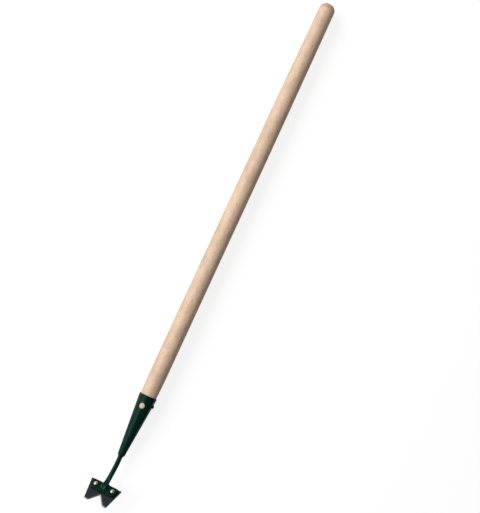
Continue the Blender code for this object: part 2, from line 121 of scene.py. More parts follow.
# Neck
NECK_RADIUS = 5.0 * MM
NECK_SPIGOT = 20.0 * MM
NECK_STRAIGHT = 12.5 * MM
NECK_BEND_ANGLE = math.radians(16.0)
NECK_BEND_LENGTH = 26.0 * MM
NECK_RUN = 16.0 * MM
NECK_KNEE_LENGTH = 8.0 * MM
NECK_FOOT_LENGTH = 8.7 * MM
NECK_FOOT_THICKNESS = 6.0 * MM
NECK_FOOT_SPREAD = 0.9 * MM
NECK_SPREAD_LENGTH = 22.0 * MM
NECK_FACET_LENGTH = 12.7 * MM
NECK_RUNOUT_SLOPE = math.radians(28.5)
NECK_FOOT_BELOW_TOP = 10.0 * MM
FACET_EDGE_ROUND = 0.35 * MM
FOOT_EDGE_ROUND = 0.5 * MM
NECK_STEP = 0.8 * MM

# Blade
BLADE_TO_HANDLE = math.radians(35.0)
BLADE_TOP_HALF = 34.0 * MM
BLADE_TIP_HALF = 24.6 * MM
BLADE_HEIGHT = 48.4 * MM
BLADE_TAPER = (BLADE_TOP_HALF - BLADE_TIP_HALF) / BLADE_HEIGHT
BLADE_THICKNESS = 2.0 * MM
BLADE_CORNER = 0.5 * MM
BLADE_TIP_CORNER = 0.9 * MM
NOTCH_DEPTH = 21.2 * MM
NOTCH_ANGLE = math.radians(52.7)
NOTCH_APEX_RADIUS = 3.0 * MM
LOBE_RADIUS = 7.0 * MM
GRIND_WIDTH = 2.1 * MM
EDGE_LAND = 0.3 * MM
GRIND_HOLLOW = 0.08 * MM
GRIND_BANDS = 4
GRIND_TILT = (0.2, 0.98)

# Mounting plate and rivets
PLATE_BELOW_TOP = 1.4 * MM
PLATE_HEIGHT = 20.4 * MM
PLATE_TOP_HALF = 29.5 * MM
PLATE_THICKNESS = 4.5 * MM
PLATE_CORNER = 4.0 * MM
PLATE_EDGE_ROUND = 0.8 * MM
PLATE_FRONT = GAP + PLATE_THICKNESS
RIVET_OFFSET = 19.0 * MM
RIVET_BELOW_TOP = 11.1 * MM
RIVET_HEAD_RADIUS = 4.5 * MM
RIVET_HEAD_HEIGHT = 2.7 * MM
RIVET_SHANK_RADIUS = 2.5 * MM
RIVET_TAIL_RADIUS = 4.0 * MM
RIVET_TAIL_DEPTH = 1.3 * MM
RIVET_TAIL_SUNK = 0.1 * MM
RIVET_RIM = 0.3 * MM
RIVET_RIM_DEPTH = 0.02 * MM
RIVET_TAIL_CROWN = 0.08 * MM
RIVET_HEAD_LIFT = 0.2 * GAP
RIVET_TURN = 0.8
PLATE_DRILL = (-4.0 * MM, 8.0 * MM)
BLADE_DRILL = (-6.0 * MM, 6.0 * MM)
SIDES = (-1.0, 1.0)

# Welds
FOOT_WELD_TOE = [Vector((x * MM, y * MM)) for x, y in (
    (-7.0, -1.6), (-8.4, -2.9), (-8.9, -5.0), (-8.7, -8.0), (-8.1, -10.8), (-7.8, -12.6), (-8.3, -14.3),
    (-8.0, -15.6), (-5.8, -16.3), (-1.6, -17.0), (2.4, -17.3), (5.4, -16.6), (7.9, -14.6), (9.2, -12.0),
    (10.2, -9.0), (11.5, -6.3), (11.8, -4.9), (10.8, -3.2), (8.8, -1.6))]
FOOT_WELD_UNDER = 0.85 * NECK_RADIUS
FOOT_WELD_OVERLAP = 1.5 * MM
FOOT_WELD_CORNER = 1.0 * MM
FOOT_WELD_INSET = 0.2 * MM
FOOT_WELD_STATIONS = 240
FOOT_WELD_STEPS = 30
# Where the foot weld's chain fades and its mound rises, as shares of its length
CHAIN_FADE = (0.27, 0.37)
MOUND_RISE = (0.58, 0.72)
# Height, steepness of the flank, belly, and share of the ripples, for its chain, tongue and mound
FOOT_WELD_ZONES = (
    (4.2 * MM, 1.70, 1.3 * MM, 0.4),
    (5.2 * MM, 1.25, 1.1 * MM, 0.1),
    (5.2 * MM, 1.05, 0.4 * MM, 0.1))
FOOT_WELD_CLOSING = 0.06
FOOT_WELD_END = 0.55
BELLY_FULL = 0.6
BELLY_FALL = 0.7
WELD_TOE_SINK = 0.05 * MM
WELD_ROOT = 0.4 * MM
WELD_FEEL = 0.01
SOCKET_WELD_RADIUS = 7.1 * MM
SOCKET_WELD_START = 1.9 * MM
SOCKET_WELD_LENGTH = 5.8 * MM
SOCKET_WELD_BELLY = 0.4 * MM
SOCKET_WELD_OVERLAP = 0.15 * MM
SOCKET_WELD_STATIONS = 160
SOCKET_WELD_STEPS = 20
SOCKET_WELD_RIPPLE = 0.4
RIPPLE_LENGTH = 1.7 * MM
RIPPLE_DEPTH = 0.30 * MM
RIPPLE_BOW = 2.4

# Unevenness: size of the features, reach, and seed. The handle's reach is a share of its radius.
HANDLE_SWELL = (24.0 * MM, 0.005)
SHEET_WAVE = (9.0 * MM, 0.12 * MM)
NECK_WAVE = (9.0 * MM, 0.12 * MM, 5.0)
FACET_WAVE = (6.0 * MM, 0.12 * MM, 11.0)
RIPPLE_DRIFT = (3.2 * MM, 0.90 * MM, 21.0)
WELD_LUMPS = (5.0 * MM, 0.80 * MM, 7.0)
WELD_PEARLS = (1.25 * MM, 0.60 * MM, 15.0)
WELD_GRAIN = (2.2 * MM, 0.20 * MM, 9.0)
SOCKET_WELD_EDGE = (4.5 * MM, 1.0 * MM, 3.0)

# Camera, which looks at a point up the handle
VIEW_POINT = (0.0, 330.0 * MM, 0.0)
VIEW_DISTANCE = 3.0
VIEW_TO_THE_RIGHT = math.radians(14.50)
VIEW_FROM_BELOW = math.radians(3.55)
VIEW_ROLL = math.radians(24.82)
PICTURE_WIDTH = 480
PICTURE_HEIGHT = 513
PIXELS_PER_METRE = 493.59
POINT_ACROSS = 217.15
POINT_DOWN = 247.22
SENSOR = 36.0
FAR_CLIP = 100.0

# Light and floor. At a level of 1 a surface that faces the light shows its colour as written.
KEY_LEVEL = 1.10
KEY_SIDE = math.radians(43)
KEY_LEAN = math.radians(5.4)
KEY_DISTANCE = 2.6
KEY_WIDTH = 3.4
KEY_HEIGHT = 1.7
SKY_LEVEL = 0.17
FLOOR_COLOUR = 0.55
FLOOR_LIFT = 0.80
FLOOR_RADII = (2.0, 8.0, 14.0)
FLOOR_STEPS = 64

# The tree's axis beside the handle, and how far its rings wander
GROWTH_AXIS = (52.0 * MM, 0.0, -30.0 * MM)
GROWTH_DRIFT = 6.0 * MM

# Peel and lumps of a coat of paint
FINE_COAT = (0.006 * MM, 0.03 * MM)
THICK_COAT = (0.01 * MM, 0.04 * MM)

# Colours, in linear light
WOOD_PALE = (0.900, 0.662, 0.450)
WOOD_PINK = (0.900, 0.624, 0.462)
WOOD_PATCH = (0.660, 0.455, 0.310)
WOOD_EARLY = (0.640, 0.455, 0.310)
WOOD_FIBRE = (0.660, 0.475, 0.330)
WOOD_PORE = (0.460, 0.310, 0.200)
WOOD_FLECK = (0.360, 0.230, 0.150)
WOOD_END = (0.710, 0.430, 0.240)
PAINT_DEEP = (0.0003, 0.0165, 0.0110)
PAINT_THIN = (0.0010, 0.0197, 0.0136)
PAINT_DUST = (0.040, 0.075, 0.062)
PAINT_SHINE_TINT = (0.55, 1.0, 0.90)
STEEL_DARK = (0.0165, 0.0215, 0.0240)
STEEL_SCALE = (0.0215, 0.0268, 0.0292)
STEEL_LINE = (0.031, 0.037, 0.039)
STEEL_SCRATCH = (0.10, 0.105, 0.108)
GROUND_DARK = (0.24, 0.228, 0.228)
GROUND_BRIGHT = (0.45, 0.430, 0.430)
GROUND_BROAD = (0.20, 0.192, 0.192)
ZINC_GOLD = (0.555, 0.525, 0.405)
ZINC_GREEN = (0.505, 0.500, 0.390)
ZINC_PINK = (0.580, 0.475, 0.390)
ZINC_PIT = (0.330, 0.270, 0.170)
WHITE = (1.0, 1.0, 1.0, 1.0)

# Steps round a circle, along an arc and along a length
ROUND_STEPS = 96
SIGHT_HOLE_STEPS = 64
SCREW_STEPS = 64
SCREW_HOLE_STEPS = 32
DRILL_STEPS = 48
RIVET_STEPS = 72
SEAT_STEPS = 16
HANDLE_STEPS = 200
CONE_STEPS = 60
BORE_STEPS = 20
DOME_STEPS = 20
SCREW_HEAD_STEPS = 14
ARC_STEPS = 12
PLATE_EDGE_STEPS = 6
EDGE_STEPS = 5

# Angles in degrees, above which an edge stays sharp
SHARP_ANGLE = 35.0
NECK_SHARP_ANGLE = 28.0
WELD_SHARP_ANGLE = 60.0


class Finish:
    """A node material in the frame of the tool or the head, with a short call for each kind of node."""

    def __init__(self, name, frame_of):
        self.material = bpy.data.materials.new(name)
        self.material.use_nodes = True
        self.tree = self.material.node_tree
        self.shader = self.tree.nodes["Principled BSDF"]
        self.place = self.add("ShaderNodeTexCoord", object=frame_of).outputs["Object"]

    def add(self, kind, **settings):
        node = self.tree.nodes.new(kind)
        for name, value in settings.items():
            setattr(node, name, value)
        return node

    def feed(self, socket, value):
        if isinstance(value, bpy.types.NodeSocket):
            self.tree.links.new(value, socket)
        else:
            socket.default_value = value

    def stretch(self, vector, factors):
        node = self.add("ShaderNodeVectorMath", operation="MULTIPLY")
        self.feed(node.inputs[0], vector)
        node.inputs[1].default_value = factors
        return node.outputs["Vector"]

    def shift(self, vector, other):
        node = self.add("ShaderNodeVectorMath", operation="ADD")
        self.feed(node.inputs[0], vector)
        self.feed(node.inputs[1], other)
        return node.outputs["Vector"]

    def turned(self, vector, rotation):
        node = self.add("ShaderNodeMapping")
        self.feed(node.inputs["Vector"], vector)
        node.inputs["Rotation"].default_value = rotation
        return node.outputs["Vector"]

    def noise(self, vector, detail=2.0, roughness=0.5, output="Fac"):
        node = self.add("ShaderNodeTexNoise")
        self.feed(node.inputs["Vector"], vector)
        node.inputs["Scale"].default_value = 1.0
        node.inputs["Detail"].default_value = detail
        node.inputs["Roughness"].default_value = roughness
        return node.outputs[output]

    def grain(self, factors, detail=2.0, roughness=0.5):
        """Noise in the piece's own frame, with this many features in a metre along each axis."""
        return self.noise(self.stretch(self.place, factors), detail, roughness)

    def ramp(self, value, start, end, low=0.0, high=1.0):
        node = self.add("ShaderNodeMapRange", interpolation_type="SMOOTHSTEP")
        self.feed(node.inputs["Value"], value)
        node.inputs["From Min"].default_value = start
        node.inputs["From Max"].default_value = end
        node.inputs["To Min"].default_value = low
        node.inputs["To Max"].default_value = high
        return node.outputs["Result"]

    def sum(self, first, second, operation="ADD"):
        node = self.add("ShaderNodeMath", operation=operation)
        self.feed(node.inputs[0], first)
        self.feed(node.inputs[1], second)
        return node.outputs["Value"]

    def product(self, first, second):
        return self.sum(first, second, "MULTIPLY")

    def mix(self, factor, first, second):
        node = self.add("ShaderNodeMix", data_type="RGBA")
        self.feed(node.inputs[0], factor)
        for socket, colour in ((node.inputs[6], first), (node.inputs[7], second)):
            self.feed(socket, (*colour, 1.0) if isinstance(colour, tuple) else colour)
        return node.outputs[2]

    def bump(self, height, distance):
        """Adds a relief to the normal, on top of those added before it."""
        node = self.add("ShaderNodeBump")
        self.feed(node.inputs["Height"], height)
        node.inputs["Distance"].default_value = distance
        earlier = self.shader.inputs["Normal"].links
        if earlier:
            self.feed(node.inputs["Normal"], earlier[0].from_socket)
        self.feed(self.shader.inputs["Normal"], node.outputs["Normal"])

    def set(self, **values):
        for name, value in values.items():
            socket = self.shader.inputs[name.replace("_", " ").title().replace("Ior", "IOR")]
            self.feed(socket, (*value, 1.0) if isinstance(value, tuple) else value)
        return self.material


def wood_finish():
    """Bare, finely sanded ash: growth rings about an axis beside the handle, fibres, pores and flecks."""
    wood = Finish("bare ash", TOOL_FRAME)
    drift = wood.noise(wood.stretch(wood.place, (22.0, 2.6, 22.0)), 2.0, 0.5, "Color")
    centred = wood.shift(drift, (-0.5, -0.5, -0.5))
    wandering = wood.shift(wood.place, wood.stretch(centred, (GROWTH_DRIFT, 0.0, GROWTH_DRIFT)))
    leaning = wood.turned(wandering, (math.radians(0.5), 0.0, math.radians(0.7)))
    rings = wood.add("ShaderNodeTexWave", wave_type="RINGS", rings_direction="Y", wave_profile="SAW")
    wood.feed(rings.inputs["Vector"], wood.shift(leaning, GROWTH_AXIS))
    rings.inputs["Scale"].default_value = 125.0
    rings.inputs["Distortion"].default_value = 0.8
    rings.inputs["Detail"].default_value = 2.0
    rings.inputs["Detail Scale"].default_value = 0.6
    early = wood.ramp(rings.outputs["Fac"], 0.45, 0.0)
    fibres = wood.grain((900.0, 14.0, 900.0), 3.0, 0.6)
    pores = wood.ramp(wood.grain((1900.0, 95.0, 1900.0), 1.0), 0.60, 0.72)
    flecks = wood.ramp(wood.grain((760.0, 210.0, 760.0), 0.0), 0.70, 0.77)
    tint = wood.ramp(wood.grain((34.0, 20.0, 34.0), 2.0), 0.36, 0.64)
    patches = wood.grain((55.0, 34.0, 55.0), 2.0, 0.6)
    colour = wood.mix(tint, WOOD_PALE, WOOD_PINK)
    colour = wood.mix(wood.ramp(patches, 0.42, 0.66, 0.0, 0.60), colour, WOOD_PATCH)
    colour = wood.mix(wood.product(early, 0.50), colour, WOOD_EARLY)
    colour = wood.mix(wood.ramp(fibres, 0.35, 0.70, 0.0, 0.42), colour, WOOD_FIBRE)
    pore_share = wood.product(pores, wood.ramp(early, 0.0, 1.0, 0.15, 0.50))
    colour = wood.mix(pore_share, colour, WOOD_PORE)
    colour = wood.mix(wood.product(flecks, 0.60), colour, WOOD_FLECK)
    facing = wood.add("ShaderNodeSeparateXYZ")
    wood.feed(facing.inputs["Vector"], wood.add("ShaderNodeTexCoord").outputs["Normal"])
    end_grain = wood.ramp(facing.outputs["Y"], 0.02, 0.35, 0.0, 0.75)
    colour = wood.mix(end_grain, colour, WOOD_END)
    roughness = wood.ramp(fibres, 0.2, 0.8, 0.46, 0.60)
    wood.bump(fibres, 0.06 * MM)
    wood.bump(wood.sum(wood.product(pores, -1.0), wood.product(flecks, -0.5)), 0.05 * MM)
    return wood.set(base_color=colour, roughness=roughness, specular_ior_level=0.70, sheen_weight=0.30,
                    sheen_roughness=0.4)


def paint_finish(name, frame_of, peel, lumps, roughness, shine=0.15):
    """Dark green gloss enamel over steel, with the fine unevenness of a dipped coat."""
    paint = Finish(name, frame_of)
    cloud = paint.grain((38.0, 38.0, 38.0), 3.0)
    colour = paint.mix(paint.ramp(cloud, 0.3, 0.7), PAINT_DEEP, PAINT_THIN)
    dust = paint.ramp(paint.grain((760.0, 760.0, 760.0), 0.0), 0.80, 0.84)
    colour = paint.mix(paint.product(dust, 0.12), colour, PAINT_DUST)
    smears = paint.grain((260.0, 30.0, 260.0), 3.0, 0.6)
    gloss = paint.ramp(smears, 0.3, 0.75, roughness - 0.05, roughness + 0.08)
    paint.bump(paint.grain((520.0, 520.0, 520.0), 1.0), peel)
    paint.bump(paint.grain((95.0, 60.0, 95.0), 2.0), lumps)
    return paint.set(base_color=colour, roughness=gloss, specular_ior_level=shine,
                     specular_tint=PAINT_SHINE_TINT)


def steel_finish():
    """Dark hardened sheet steel, with faint rolling lines, a mottled scale and a few hair scratches."""
    steel = Finish("dark steel", HEAD_FRAME)
    mottle = steel.grain((110.0, 90.0, 110.0), 4.0, 0.6)
    lines = steel.grain((30.0, 1700.0, 30.0), 2.0)
    colour = steel.mix(steel.ramp(mottle, 0.3, 0.7), STEEL_DARK, STEEL_SCALE)
    colour = steel.mix(steel.ramp(lines, 0.45, 0.75, 0.0, 0.35), colour, STEEL_LINE)
    slanted = steel.turned(steel.place, (0.0, 0.0, 0.42))
    hair = steel.noise(steel.stretch(slanted, (26.0, 2600.0, 26.0)), 0.0)
    broken = steel.ramp(steel.grain((60.0, 60.0, 60.0), 1.0), 0.52, 0.62)
    scratches = steel.product(steel.ramp(hair, 0.75, 0.78), broken)
    colour = steel.mix(steel.product(scratches, 0.40), colour, STEEL_SCRATCH)
    roughness = steel.ramp(mottle, 0.25, 0.75, 0.40, 0.52)
    steel.bump(lines, 0.02 * MM)
    steel.bump(mottle, 0.08 * MM)
    return steel.set(base_color=colour, roughness=roughness, metallic=0.55)


def ground_finish():
    """The freshly ground bevel, bright, with fine grinding marks square to the cutting edge."""
    ground = Finish("ground steel", HEAD_FRAME)
    along = ground.add("ShaderNodeAttribute", attribute_name="along")
    run = ground.add("ShaderNodeCombineXYZ")
    ground.feed(run.inputs["X"], along.outputs["Fac"])
    marks = ground.noise(ground.stretch(run.outputs["Vector"], (3800.0, 1.0, 1.0)), 3.0, 0.7)
    broad = ground.noise(ground.stretch(run.outputs["Vector"], (420.0, 1.0, 1.0)), 2.0)
    colour = ground.mix(ground.ramp(marks, 0.30, 0.70), GROUND_DARK, GROUND_BRIGHT)
    colour = ground.mix(ground.ramp(broad, 0.35, 0.70, 0.0, 0.30), colour, GROUND_BROAD)
    ground.bump(marks, 0.05 * MM)
    return ground.set(base_color=colour, roughness=ground.ramp(broad, 0.3, 0.7, 0.36, 0.48), metallic=0.8)


def zinc_finish():
    """Yellow passivated zinc, pale gold, with drifting green and pink tints and fine pitting."""
    zinc = Finish("yellow zinc", HEAD_FRAME)
    clouds = zinc.grain((330.0, 330.0, 330.0), 2.0)
    other = zinc.grain((210.0, 260.0, 210.0), 1.0)
    colour = zinc.mix(zinc.ramp(clouds, 0.35, 0.65), ZINC_GOLD, ZINC_GREEN)
    colour = zinc.mix(zinc.ramp(other, 0.50, 0.72, 0.0, 0.5), colour, ZINC_PINK)
    pits = zinc.ramp(zinc.grain((1500.0, 1500.0, 1500.0), 2.0), 0.55, 0.80)
    colour = zinc.mix(zinc.product(pits, 0.30), colour, ZINC_PIT)
    zinc.bump(zinc.product(pits, -1.0), 0.008 * MM)
    zinc.bump(clouds, 0.02 * MM)
    return zinc.set(base_color=colour, roughness=zinc.ramp(clouds, 0.3, 0.7, 0.32, 0.42), metallic=1.0)


def skin(name, rings, looped=False, capped=True):
    """A surface through rings of points, capped at both ends. A ring of one point is a pole, and looped
    joins the ends instead."""
    shape = bmesh.new()
    rows = [[shape.verts.new(point) for point in ring] for ring in rings]
    following = rows[1:] + rows[:1] if looped else rows[1:]
    for low, high in zip(rows, following):
        count = max(len(low), len(high))
        for index in range(count):
            beside = (index + 1) % count
            corners = (low[index % len(low)], low[beside % len(low)],
                       high[beside % len(high)], high[index % len(high)])
            shape.faces.new(list(dict.fromkeys(corners)))
    if capped and not looped:
        for end in (rows[0], rows[-1]):
            if len(end) > 1:
                shape.faces.new(end)
    bmesh.ops.recalc_face_normals(shape, faces=shape.faces)
    mesh = bpy.data.meshes.new(name)
    shape.to_mesh(mesh)
    shape.free()
    return mesh


def put(name, data):
    """Adds an object with this data to the scene."""
    thing = bpy.data.objects.new(name, data)
    bpy.context.scene.collection.objects.link(thing)
    return thing


def add_piece(name, mesh, matrix, materials, sharp=SHARP_ANGLE):
    """Shows a mesh that is written in the frame of this matrix."""
    mesh.transform(matrix)
    piece = put(name, mesh)
    for material in materials:
        mesh.materials.append(material)
    mesh.shade_smooth()
    mesh.set_sharp_from_angle(angle=math.radians(sharp))
    return piece


def cut(piece, cutters, matrix):
    """Takes the cutters' meshes, written in the frame of this matrix, out of a piece."""
    for mesh in cutters:
        mesh.transform(matrix)
        tool = put("cutter", mesh)
        boolean = piece.modifiers.new("cut", "BOOLEAN")
        boolean.operation = "DIFFERENCE"
        boolean.solver = "EXACT"
        boolean.object = tool
        bpy.context.view_layer.update()
        shaped = bpy.data.meshes.new_from_object(piece.evaluated_get(bpy.context.evaluated_depsgraph_get()))
        piece.modifiers.clear()
        piece.data = shaped
        bpy.data.objects.remove(tool)
    piece.data.shade_smooth()
    piece.data.set_sharp_from_angle(angle=math.radians(SHARP_ANGLE))


def finish_piece(piece, node):
    """Lets a piece ride on the tool's body in place of a solid."""
    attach(piece, BODY)
    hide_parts(node)


def turned(profile, steps=ROUND_STEPS):
    """Rings about +Z through a profile of (radius, height). A radius of zero is a pole."""
    rings = []
    for radius, height in profile:
        if radius == 0.0:
            rings.append([(0.0, 0.0, height)])
            continue
        angles = [math.tau * step / steps for step in range(steps)]
        rings.append([(radius * math.cos(angle), radius * math.sin(angle), height) for angle in angles])
    return rings


def quarter(steps):
    """Angles from nothing to a right angle, in this many steps."""
    return [math.radians(90) * step / steps for step in range(steps + 1)]


def arc(centre, radius, start, end, steps):
    """Points of an arc in a profile, as (across, along), with its angles in degrees."""
    points = []
    for step in range(steps + 1):
        angle = math.radians(start + (end - start) * step / steps)
        points.append((centre[0] + radius * math.cos(angle), centre[1] + radius * math.sin(angle)))
    return points


def rounded(corners):
    """Round the corners of a closed outline. Each corner is (x, y, radius)."""
    outline = []
    count = len(corners)
    for index, (x, y, radius) in enumerate(corners):
        here = Vector((x, y))
        before = Vector(corners[index - 1][:2])
        after = Vector(corners[(index + 1) % count][:2])
        to_before = (before - here).normalized()
        to_after = (after - here).normalized()
        half = to_before.angle(to_after) / 2
        centre = here + (to_before + to_after).normalized() * (radius / math.sin(half))
        start = here + to_before * (radius / math.tan(half)) - centre
        end = here + to_after * (radius / math.tan(half)) - centre
        sweep = start.angle_signed(end)
        for step in range(ARC_STEPS + 1):
            turn_by = Matrix.Rotation(-sweep * step / ARC_STEPS, 2)
            outline.append(tuple(centre + turn_by @ start))
    return outline


def smooth(value):
    """Rises from 0 to 1, level at both ends."""
    value = min(1.0, max(0.0, value))
    return value * value * (3.0 - 2.0 * value)


def smooth_lower(first, second, round_by):
    """The lower of two heights, with the crease between them rounded."""
    near = max(0.0, round_by - abs(first - second)) / round_by
    return min(first, second) - near * near * round_by / 4


def waver(point, feature, reach, seed=0.0):
    """A smooth random offset of up to about this reach, with features of this size."""
    return noise.noise(Vector(point) / feature + Vector((seed, seed, seed))) * reach


def socket_radius(height):
    """Outer radius of the socket's cone at a height along the handle, which is zero at its mouth."""
    return SOCKET_MOUTH_RADIUS + SOCKET_SLOPE * height


def neck_path():
    """Centre line of the neck in the tool's YZ plane, from inside the socket to the foot's end."""
    sections = (
        (NECK_SPIGOT + NECK_STRAIGHT, 0.0),
        (NECK_BEND_LENGTH, NECK_BEND_ANGLE),
        (NECK_RUN, 0.0),
        (NECK_KNEE_LENGTH, BLADE_TO_HANDLE - NECK_BEND_ANGLE),
        (NECK_FOOT_LENGTH, 0.0),
    )
    place = Vector((0.0, NECK_SPIGOT - SOCKET_CONE_LENGTH - SOCKET_SHOULDER_LENGTH, 0.0))
    angle = 0.0
    points = [(place.copy(), angle)]
    for length, turning in sections:
        steps = round(length / NECK_STEP)
        for step in range(steps):
            middle = angle + turning * (step + 0.5) / steps
            place += Vector((0.0, -math.cos(middle), math.sin(middle))) * (length / steps)
            points.append((place.copy(), angle + turning * (step + 1) / steps))
        angle += turning
    return points


def blade_corners(grind):
    """Corners of the blade's outline, with its cutting edge drawn in by the width of the grind."""
    tip = grind - BLADE_HEIGHT
    apex = NOTCH_DEPTH - BLADE_HEIGHT + grind / math.cos(NOTCH_ANGLE)
    lobe = (apex - tip) / math.tan(NOTCH_ANGLE)
    right = [
        (lobe, tip, LOBE_RADIUS - grind),
        (BLADE_TIP_HALF + BLADE_TAPER * grind, tip, BLADE_TIP_CORNER),
        (BLADE_TOP_HALF, 0.0, BLADE_CORNER),
    ]
    left = [(-x, y, radius) for x, y, radius in reversed(right)]
    return [(0.0, apex, NOTCH_APEX_RADIUS + grind)] + right + left


def add_handle():
    """A round stick, thinned to fit the socket and towards its domed end, with a slight swell."""
    dome_base = HANDLE_LENGTH - HANDLE_DOME_LENGTH
    seat_end = neck_path()[0][0].y + HANDLE_TO_NECK
    rim_radius = SOCKET_MOUTH_RADIUS - SOCKET_WALL - GAP

    def radius_at(height):
        if height < 0.0:
            return socket_radius(height) - SOCKET_WALL - GAP
        if height < HANDLE_SHOULDER_LENGTH:
            return HANDLE_RADIUS - (HANDLE_RADIUS - rim_radius) * (1 - height / HANDLE_SHOULDER_LENGTH) ** 3
        if height < HANDLE_TAPER_START:
            return HANDLE_RADIUS
        part = (dome_base - height) / (dome_base - HANDLE_TAPER_START)
        return HANDLE_END_RADIUS + (HANDLE_RADIUS - HANDLE_END_RADIUS) * math.sin(math.radians(90) * part)

    profile = [(0.0, seat_end), (radius_at(seat_end) - RIM_ROUND, seat_end)]
    heights = [(seat_end + RIM_ROUND) * (1 - step / SEAT_STEPS) for step in range(SEAT_STEPS)]
    heights += [dome_base * step / HANDLE_STEPS for step in range(HANDLE_STEPS)]
    profile += [(radius_at(height), height) for height in heights]
    for angle in quarter(DOME_STEPS)[:-1]:
        height = dome_base + HANDLE_DOME_LENGTH * math.sin(angle)
        profile.append((HANDLE_END_RADIUS * math.cos(angle), height))
    profile.append((0.0, HANDLE_LENGTH))
    rings = []
    for ring in turned(profile):
        points = []
        for x, z, height in ring:
            outwards = Vector((x, 0.0, z))
            swell = 1.0 + waver((x, height / HANDLE_SWELL_STRETCH, z), *HANDLE_SWELL)
            points.append(outwards * swell + Vector((0.0, height, 0.0)))
        rings.append(points)
    piece = add_piece("ash_handle", skin("ash_handle", rings), TOOL, [wood_finish()])
    finish_piece(piece, "handle")


def socket_profile():
    """The socket's section as (radius, height): down the outside from the rim, then back up the bore."""
    end = -SOCKET_CONE_LENGTH - SOCKET_SHOULDER_LENGTH
    bore = NECK_RADIUS + GAP
    end_radius = bore + SOCKET_END_WALL
    mouth_bore = SOCKET_MOUTH_RADIUS - SOCKET_WALL
    outside = arc((SOCKET_MOUTH_RADIUS - RIM_ROUND, -RIM_ROUND), RIM_ROUND, 90, 0, 6)
    for step in range(1, CONE_STEPS + 1):
        height = -RIM_ROUND - (SOCKET_CONE_LENGTH - RIM_ROUND) * step / CONE_STEPS
        outside.append((socket_radius(height), height))
    for angle in quarter(ARC_STEPS)[1:]:
        radius = end_radius + (SOCKET_SMALL_RADIUS - end_radius) * math.cos(angle)
        outside.append((radius, -SOCKET_CONE_LENGTH - SOCKET_SHOULDER_LENGTH * math.sin(angle)))
    cone_end = max(-(mouth_bore - bore) / SOCKET_SLOPE, end + GAP)
    inside = [(bore, end), (bore, cone_end)]
    for step in range(1, BORE_STEPS):
        height = cone_end * (1 - step / BORE_STEPS)
        inside.append((mouth_bore + SOCKET_SLOPE * height, height))
    inside += arc((mouth_bore + RIM_ROUND, -RIM_ROUND), RIM_ROUND, 180, 90, 4)
    return outside, inside


def add_socket(paint):
    """A cone of sheet steel with a seam at the back, a sight hole in front and a hole for the screw."""
    outside, inside = socket_profile()
    seam_offsets = [offset * SEAM_WIDTH for offset in SEAM_OFFSETS]
    plain_steps = ROUND_STEPS + 32

    def section(radius, height, seam):
        """One ring, which starts and ends beside the seam at the back."""
        ring = []
        for offset in seam_offsets:
            angle = offset / SOCKET_MOUTH_RADIUS
            depth = SEAM_DEPTH * (1.0 - smooth((abs(offset) / SEAM_WIDTH - 0.25) / 0.5)) if seam else 0.0
            ring.append((angle, radius - depth))
        for step in range(plain_steps + 1):
            ring.append((SEAM_CLEAR + (math.tau - 2 * SEAM_CLEAR) * step / plain_steps, radius))
        points = []
        for angle, reach in ring:
            around = Vector((math.sin(angle), 0.0, -math.cos(angle)))
            if seam:
                spot = around * SHEET_WAVE_RADIUS + Vector((0.0, height / SHEET_WAVE_STRETCH, 0.0))
                reach += waver(spot, *SHEET_WAVE)
            points.append(around * reach + Vector((0.0, height, 0.0)))
        return points

    rings = [section(radius, height, True) for radius, height in outside]
    rings += [section(radius, height, False) for radius, height in inside]
    piece = add_piece("socket_shell", skin("socket_shell", rings, looped=True), TOOL, [paint])
    cut(piece, [sight_hole_cutter(), screw_hole_cutter()], TOOL)
    finish_piece(piece, "socket")


def sight_hole_cutter():
    """A round punch whose mouth flares where it leaves the cone, so that the hole's edge is rounded."""
    def surface(x, y):
        return math.sqrt(socket_radius(y) ** 2 - x * x)

    depths = [(0.0, PUNCH_BELOW), (0.0, HOLE_EDGE_ROUND)]
    for angle in quarter(EDGE_STEPS)[1:]:
        depths.append((HOLE_EDGE_ROUND * (1 - math.cos(angle)), HOLE_EDGE_ROUND * (1 - math.sin(angle))))
    depths.append((HOLE_FLARE, -PUNCH_ABOVE))
    rings = []
    for flare, depth in depths:
        ring = []
        for step in range(SIGHT_HOLE_STEPS):
            angle = math.tau * step / SIGHT_HOLE_STEPS
            x = (SIGHT_HOLE_RADIUS + flare) * math.cos(angle)
            y = (SIGHT_HOLE_RADIUS + flare) * math.sin(angle) - SIGHT_HOLE_BELOW_RIM
            ring.append((x, y, surface(x, y) - depth))
        rings.append(ring)
    return skin("sight hole", rings)


def screw_hole_cutter():
    """A plain drill at the right-hand side, under the screw's head."""
    radius = SCREW_SHANK_RADIUS + GAP
    heights = (SCREW_HOLE_START, SOCKET_MOUTH_RADIUS * 2)
    mesh = skin("screw hole", turned([(radius, height) for height in heights], SCREW_HOLE_STEPS))
    mesh.transform(Matrix.Translation((0.0, -SCREW_BELOW_RIM, 0.0)) @ TO_THE_RIGHT)
    return mesh


